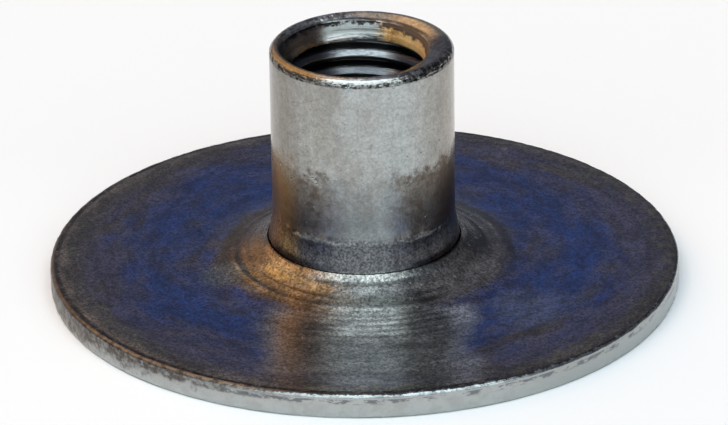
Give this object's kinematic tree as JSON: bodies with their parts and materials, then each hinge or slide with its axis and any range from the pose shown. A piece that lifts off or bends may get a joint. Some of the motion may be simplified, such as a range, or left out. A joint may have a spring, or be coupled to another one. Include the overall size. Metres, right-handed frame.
{
  "type": "weld nut",
  "caption": "Round-base weld nut: a flat steel disc with an internally threaded barrel drawn up from its centre, welded down to give thin sheet a deep screw thread.",
  "frame": {"origin": "centre of the flange's underside, on the axis of the thread", "axes": "+Z along the thread's axis, from the flange towards the barrel's rim; X and Y lie in the flange's underside"},
  "size_m": [0.04, 0.04, 0.016],
  "materials": {
    "heat_tinted_steel": "bare drawn sheet steel, satin, blued by heat round the flange and straw at the root of the barrel"
  },
  "bodies": {
    "root": {"weld_nut": "heat_tinted_steel"}
  },
  "joints": []
}
